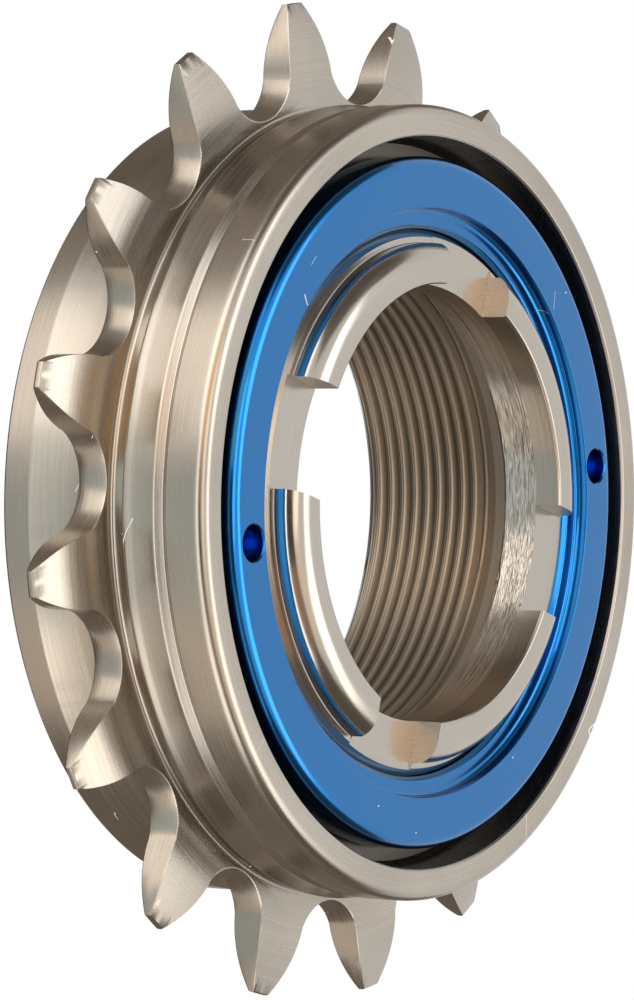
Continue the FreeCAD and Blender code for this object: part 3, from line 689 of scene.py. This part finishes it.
smooth = add(
    tree,
    "ShaderNodeMapRange",
    {"Value": turning, "From Min": 0.3, "From Max": 0.7, "To Min": 0.14, "To Max": 0.26},
).outputs[0]
dull = add(tree, "ShaderNodeMath", {0: in_thread, 1: wall}, operation="MAXIMUM").outputs[0]
rough = add(tree, "ShaderNodeMix", {"Factor": dull, 2: smooth, 3: 0.36}).outputs[0]
rough = add(tree, "ShaderNodeMix", {"Factor": in_cone, 2: rough, 3: 0.5}).outputs[0]
colour = add(tree, "ShaderNodeMix", {"Factor": in_thread}, data_type="RGBA")
colour.inputs[6].default_value = linear("#B4ADA3")
colour.inputs[7].default_value = linear("#9C9286")
# The notch walls and the marked front bore get a lighter colour, #D8D2CA: a painted highlight.
painted_bright_zones = add(tree, "ShaderNodeMath", {0: marked, 1: wall}, operation="MAXIMUM").outputs[0]
colour = add(tree, "ShaderNodeMix", {"Factor": painted_bright_zones, 6: colour.outputs[2]}, data_type="RGBA")
colour.inputs[7].default_value = linear("#D8D2CA")
line_bump = add(
    tree, "ShaderNodeBump", {"Height": turning, "Strength": 0.5, "Distance": 0.006 * MM}
).outputs[0]
bump = line_bump
for marks, strength, depth in ((coarse, marked, 0.1), (chatter, wall, 0.05), (grain, 0.3, 0.006)):
    bump = add(
        tree,
        "ShaderNodeBump",
        {"Height": marks, "Strength": strength, "Distance": depth * MM, "Normal": bump},
    ).outputs[0]
metal = add(
    tree,
    "ShaderNodeBsdfPrincipled",
    {"Base Color": colour.outputs[2], "Metallic": 1.0, "Roughness": rough, "Normal": bump},
)
add(tree, "ShaderNodeOutputMaterial", {"Surface": metal.outputs[0]})

low_rows = rounded_corners(
    [(THREAD_RADIUS, THREAD_TOP), (FRONT_BORE, CONE_TOP, 0.25), (FRONT_BORE, NOTCH_FLOOR)]
)
lug_rows = rounded_corners(
    [
        (FRONT_BORE, NOTCH_FLOOR),
        (FRONT_BORE, LUG_TOP - 0.15, 0.06),
        (FRONT_BORE + 0.15, LUG_TOP, 0.06),
        (LUG_FLAT - 0.1, LUG_TOP),
    ]
)
lug_rows += arc_points((LUG_FLAT, LUG_TOP), (LUG_RADIUS, LUG_SHOULDER), 1.75, -1, 12)
lug_rows += rounded_corners(
    [
        (LUG_RADIUS, LUG_SHOULDER - 0.1),
        (LUG_RADIUS, LEDGE, 0.1),
        (LUG_RADIUS + 0.45, LEDGE),
        (FLOOR_END, NOTCH_FLOOR),
    ]
)
floor_rows = [Vector((FRONT_BORE + (FLOOR_END - FRONT_BORE) * s / 4, NOTCH_FLOOR)) for s in range(5)]
outer_rows = rounded_corners(
    [
        (FLOOR_END, NOTCH_FLOOR),
        (RING_THREAD, RING_THREAD_TOP),
        (RING_THREAD, SEAT_TOP),
        (SEAT_RADIUS, SEAT_TOP),
        (SEAT_RADIUS, BEARING_REAR),
        (STOP_RADIUS, BEARING_REAR),
        (STOP_RADIUS, CARRIER_TOP),
        (CARRIER_RADIUS, CARRIER_TOP),
        (CARRIER_RADIUS, FLANGE_TOP),
        (FLANGE_RADIUS, FLANGE_TOP, 0.05),
        (FLANGE_RADIUS, SEAL_GROOVE_TOP),
        (SEAL_GROOVE_RADIUS, SEAL_GROOVE_TOP),
        (SEAL_GROOVE_RADIUS, SEAL_GROOVE_REAR),
        (FLANGE_RADIUS, SEAL_GROOVE_REAR),
        (FLANGE_RADIUS, 0.3, 0.05),
        (FLANGE_RADIUS - 0.3, 0, 0.05),
        (FLANGE_RADIUS - 0.6, 0),
        (THREAD_RADIUS + THREAD_LEAD + 0.2, 0),
        (THREAD_RADIUS + THREAD_LEAD, 0, 0.06),
        (THREAD_RADIUS, THREAD_LEAD),
    ]
)
quarter = 2 * math.pi / NOTCHES
inner_wall = math.asin(NOTCH_HALF / FRONT_BORE)
outer_wall = math.asin(NOTCH_HALF / FLOOR_END)


def body_angle(column, wall):
    """Angle of a column from a notch's middle, with the notch's wall at an angle."""
    if column <= NOTCH_COLUMNS:
        return wall * column / NOTCH_COLUMNS
    if column <= NOTCH_COLUMNS + LUG_COLUMNS:
        return wall + (quarter - 2 * wall) * (column - NOTCH_COLUMNS) / LUG_COLUMNS
    return quarter - wall * (2 * NOTCH_COLUMNS + LUG_COLUMNS - column) / NOTCH_COLUMNS


every = range(2 * NOTCH_COLUMNS + LUG_COLUMNS + 1)
lug_range = range(NOTCH_COLUMNS, NOTCH_COLUMNS + LUG_COLUMNS + 1)
bm = bmesh.new()
skin(bm, [[at(body_angle(c, inner_wall), *p) for p in low_rows] for c in every])
skin(bm, [[at(body_angle(c, outer_wall), *p) for p in outer_rows] for c in every])
lug = skin(
    bm, [[at(body_angle(c, math.asin(NOTCH_HALF / p.x)), *p) for p in lug_rows] for c in lug_range]
)
for side in (every[: NOTCH_COLUMNS + 1], every[-NOTCH_COLUMNS - 1 :]):
    skin(bm, [[at(body_angle(c, math.asin(NOTCH_HALF / p.x)), *p) for p in floor_rows] for c in side])
for wall, column in ((lug[0], lug_range[0]), (lug[-1], lug_range[-1])):
    floor = [
        bm.verts.new(at(body_angle(column, math.asin(NOTCH_HALF / p.x)), *p))
        for p in floor_rows[-2:0:-1]
    ]
    bmesh.ops.triangulate(bm, faces=[bm.faces.new(wall + floor)])
front = ring_of(object_from(bm, "lug sector"), NOTCHES, NOTCH_TURN, bright_nickel)

angles = [
    NOTCH_TURN + quarter * k + body_angle(c, inner_wall) for k in range(NOTCHES) for c in every[:-1]
]
turns = int((THREAD_TOP - THREAD_LEAD) / THREAD_PITCH) + 3


def thread_inset(height, angle):
    """How far the thread stands in from its outer radius; it runs out at both ends."""
    phase = (height / THREAD_PITCH - angle / (2 * math.pi)) % 1
    ridge = min(max(1.25 - abs(phase - 0.5) * 2.9, 0), 1)
    fade = min((THREAD_TOP - height) / 0.35, (height - THREAD_LEAD) / 0.5, 1)
    return THREAD_DEPTH * ridge * max(fade, 0)


columns = []
for angle in angles:
    start = THREAD_LEAD + THREAD_PITCH * ((angle - NOTCH_TURN) / (2 * math.pi) - 1)
    heights = [start + THREAD_PITCH * row / PITCH_ROWS for row in range(turns * PITCH_ROWS)]
    heights = [min(max(height, THREAD_LEAD), THREAD_TOP) for height in heights]
    columns.append([at(angle, THREAD_RADIUS - thread_inset(h, angle), h) for h in heights])
bm = bmesh.new()
bm.from_mesh(front)
grid = skin(bm, columns)
first, last = grid[0][PITCH_ROWS:], grid[-1]
for row in range(len(first) - 1):
    bm.faces.new((last[row], first[row], first[row + 1], last[row + 1]))
bmesh.ops.remove_doubles(bm, verts=bm.verts, dist=WELD)
bmesh.ops.recalc_face_normals(bm, faces=bm.faces)
whole = object_from(bm, "body without bays")

# The pawls' sockets and pockets are milled through the carrier, wide enough for the
# whole swing of each pawl.
pressed = pawl_bend(RATCHET_TIP - PAWL_CLEAR)
socket_angles = [2 * math.pi * k / SOCKET_SIDES for k in range(SOCKET_SIDES)]
socket = [(SOCKET_RADIUS * math.cos(a), SOCKET_RADIUS * math.sin(a)) for a in socket_angles]
pocket = [
    (0, 0),
    (0, -POCKET_RISE),
    (POCKET_LENGTH, -POCKET_RISE),
    (POCKET_LENGTH, POCKET_FLOOR),
    (PAWL_HEEL / 2, POCKET_FLOOR),
]
for name, flat in (("pawl sockets", socket), ("pawl pockets", pocket)):
    bm = bmesh.new()
    for k in range(PAWLS):
        place = Matrix.Rotation(PAWL_TURN + 2 * math.pi / PAWLS * k, 4, "Z")
        place @= Matrix.Translation((PAWL_PIVOT * MM, 0, 0)) @ Matrix.Rotation(pressed, 4, "Z")
        low, high = (
            [bm.verts.new(place @ (Vector((*p, z)) * MM)) for p in flat] for z in (FLANGE_TOP, BEARING_REAR)
        )
        for side in range(len(flat)):
            bm.faces.new((low[side - 1], low[side], high[side], high[side - 1]))
        bm.faces.new(low)
        bm.faces.new(high)
    bmesh.ops.recalc_face_normals(bm, faces=bm.faces)
    cut = whole.modifiers.new(name, "BOOLEAN")
    cut.operation = "DIFFERENCE"
    cut.solver = "EXACT"
    cut.object = object_from(bm, name)
shown = whole.evaluated_get(bpy.context.evaluated_depsgraph_get())
bm = bmesh.new()
bm.from_mesh(bpy.data.meshes.new_from_object(shown))
for scratch in [whole] + [cut.object for cut in whole.modifiers]:
    bpy.data.objects.remove(scratch)
finish_piece(bm, "nickel_inner_body", "inner", bright_nickel, "inner_body")

# Lock ring. Turned aluminium, anodised blue: it screws on the inner body, presses on
# the bearing's inner race and is turned by a two-pin spanner.
RING_BORE = 19.5
RING_RADIUS = 24.6
RING_FACE = 17.45
RING_REAR = 14.5
CLAMP_RADIUS = 21.6
CLAMP_REAR = 14.0
RING_ROUND = 0.8
RECESS_RADIUS = 20.95
RECESS_FLOOR = 16.45
PIN_CIRCLE = 22.35
PIN_RADIUS = 1.25
PIN_DEPTH = 2.2
PIN_TURN = math.radians(7.5)
RING_COLUMNS = 240
PIN_COLUMNS = 48

# Blue dye sealed in the aluminium's anodised skin: clear and glossy like a thin coat, with
# light dust on it. Its blue is painted lighter where it is looked at squarely: a painted sheen.
blue_anodised, tree = new_material("blue anodised aluminium")
coords = add(tree, "ShaderNodeTexCoord").outputs["Object"]
turning = lathe_lines(tree, coords, 0.08)
line_bump = add(
    tree, "ShaderNodeBump", {"Height": turning, "Strength": 0.3, "Distance": 0.003 * MM}
).outputs[0]
facing = add(tree, "ShaderNodeLayerWeight", {"Blend": 0.5}).outputs["Facing"]
# Painted sheen: the blue is lighter where the surface faces the viewer and darker at a slant.
dye_with_painted_sheen = add(tree, "ShaderNodeValToRGB", {"Fac": facing})
dye_with_painted_sheen.color_ramp.elements[0].position = 0.12
dye_with_painted_sheen.color_ramp.elements[0].color = linear("#0A7CD0")
dye_with_painted_sheen.color_ramp.elements[1].position = 0.42
dye_with_painted_sheen.color_ramp.elements[1].color = linear("#0A68A8")
metal = add(
    tree,
    "ShaderNodeBsdfPrincipled",
    {
        "Base Color": dye_with_painted_sheen.outputs[0],
        "Metallic": 1.0,
        "Roughness": 0.2,
        "Normal": line_bump,
        "Coat Weight": 0.5,
        "Coat Roughness": 0.08,
    },
)
finish_dusty(tree, coords, metal)

ring_rows = rounded_corners(
    [
        (RECESS_RADIUS + 0.08, RING_FACE),
        (RECESS_RADIUS, RING_FACE, 0.05),
        (RECESS_RADIUS, RECESS_FLOOR + 0.42),
    ]
)
ring_rows += arc_points(
    (RECESS_RADIUS, RECESS_FLOOR + 0.4), (RECESS_RADIUS - 0.4, RECESS_FLOOR), 0.4, -1, 6
)
ring_rows += rounded_corners(
    [
        (RECESS_RADIUS - 0.5, RECESS_FLOOR),
        (RING_BORE + 0.3, RECESS_FLOOR, 0.08),
        (RING_BORE, RECESS_FLOOR - 0.3, 0.08),
        (RING_BORE, CLAMP_REAR),
        (CLAMP_RADIUS, CLAMP_REAR),
        (CLAMP_RADIUS, RING_REAR),
        (RING_RADIUS - 0.3, RING_REAR),
        (RING_RADIUS, RING_REAR + 0.3),
        (RING_RADIUS, RING_FACE - RING_ROUND - 0.1),
    ]
)
ring_rows += arc_points(
    (RING_RADIUS, RING_FACE - RING_ROUND), (RING_RADIUS - RING_ROUND, RING_FACE), RING_ROUND, 1, 8
)
bm = bmesh.new()
ring_angles = [2 * math.pi * k / RING_COLUMNS for k in range(RING_COLUMNS)]
skin(bm, [[at(a, *p) for p in ring_rows] for a in ring_angles], closed=True)
for side in (0, math.pi):
    centre = at(PIN_TURN + side, PIN_CIRCLE, 0)
    hole_rows = rounded_corners(
        [
            (PIN_RADIUS + 0.1, RING_FACE),
            (PIN_RADIUS, RING_FACE - 0.1, 0.03),
            (PIN_RADIUS, RING_FACE - PIN_DEPTH),
            (0.001, RING_FACE - PIN_DEPTH - 0.35),
        ]
    )
    hole_angles = [2 * math.pi * k / PIN_COLUMNS for k in range(PIN_COLUMNS)]
    skin(bm, [[at(a, *p) + centre for p in hole_rows] for a in hole_angles], closed=True)
rim = [e for e in bm.edges if e.is_boundary and min(v.co.z for v in e.verts) > (RING_FACE - 0.01) * MM]
bmesh.ops.triangle_fill(bm, edges=rim, use_beauty=True, normal=(0, 0, 1))
finish_piece(bm, "blue_lock_ring", "inner", blue_anodised, "lock_ring")

# Bearing, pawls and seals. Ground steel races and balls, a nylon cage, rubber seals,
# hardened pawls and their strip springs keep the frame's own solids.
RACES = ["bearing_outer_race", "bearing_inner_race"]
BALLS = [f"bearing_ball_{k:02d}" for k in range(1, 19)]
SEALS = ["bearing_seal_front", "bearing_seal_rear", "rear_dust_seal"]
PAWL_NAMES = [f"pawl_{k}" for k in range(1, PAWLS + 1)]
SPRINGS = [f"pawl_spring_{k}" for k in range(1, PAWLS + 1)]

# What each is made of, with its colour, how metallic and how rough it is, and its
# pieces: dark steel, mouldings, and bare hardened and spring steel.
FINISHES = {
    # The races and balls are given a dark grey.
    "dark bearing steel": ("#5C5751", 1.0, 0.34, RACES + BALLS),
    "moulded nylon": ("#D8CFB8", 0.0, 0.5, ["bearing_cage"]),
    "black nitrile rubber": ("#1A1A1A", 0.0, 0.6, SEALS),
    "hardened pawl steel": ("#6E6A64", 1.0, 0.32, PAWL_NAMES),
    "spring strip": ("#9A9A9A", 1.0, 0.25, SPRINGS),
}
for name, (colour, metallic, roughness, nodes) in FINISHES.items():
    material, tree = new_material(name)
    coords = add(tree, "ShaderNodeTexCoord").outputs["Object"]
    grain = add(
        tree, "ShaderNodeTexNoise", {"Vector": coords, "Scale": 1 / 0.2 / MM, "Detail": 3.0}
    ).outputs[0]
    bump = add(
        tree, "ShaderNodeBump", {"Height": grain, "Strength": 0.3, "Distance": 0.004 * MM}
    ).outputs[0]
    surface = add(
        tree,
        "ShaderNodeBsdfPrincipled",
        {"Base Color": linear(colour), "Metallic": metallic, "Roughness": roughness, "Normal": bump},
    )
    add(tree, "ShaderNodeOutputMaterial", {"Surface": surface.outputs[0]})
    for node in nodes:
        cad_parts[node].data.materials.clear()
        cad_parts[node].data.materials.append(material)

low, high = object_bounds()
